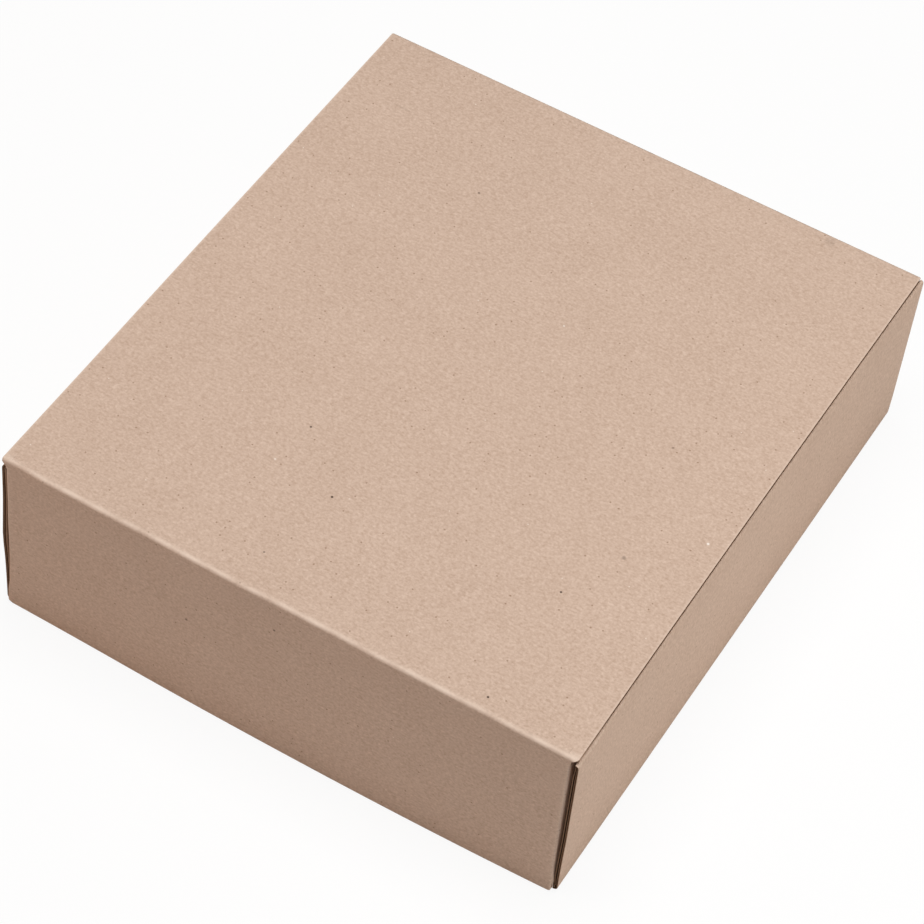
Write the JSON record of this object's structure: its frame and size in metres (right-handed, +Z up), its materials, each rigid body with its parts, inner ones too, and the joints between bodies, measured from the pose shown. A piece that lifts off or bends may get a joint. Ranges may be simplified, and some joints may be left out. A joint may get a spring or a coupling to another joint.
{
  "type": "closed cardboard box",
  "caption": "Shallow corrugated mailer, shut: rolled side walls, a lid lying on them and a front flap tucked in by its ears.",
  "frame": {"origin": "centre of the bottom panel's underside, which is where the box stands", "axes": "+Z up, +Y from the front flap to the back wall, +X to the right as seen from the front"},
  "size_m": [0.22, 0.253, 0.075],
  "materials": {
    "kraft_board": "matt unbleached recycled liner, finely mottled"
  },
  "bodies": {
    "box": {"box_body": "kraft_board"},
    "flap": {"front_flap": "kraft_board"}
  },
  "joints": [
    {"name": "flap_crease", "type": "hinge", "parent": "box", "child": "flap", "pos_m": [0, -0.12425, 0.07425], "axis": [-1, 0, 0], "range_deg": [0, 90]}
  ]
}
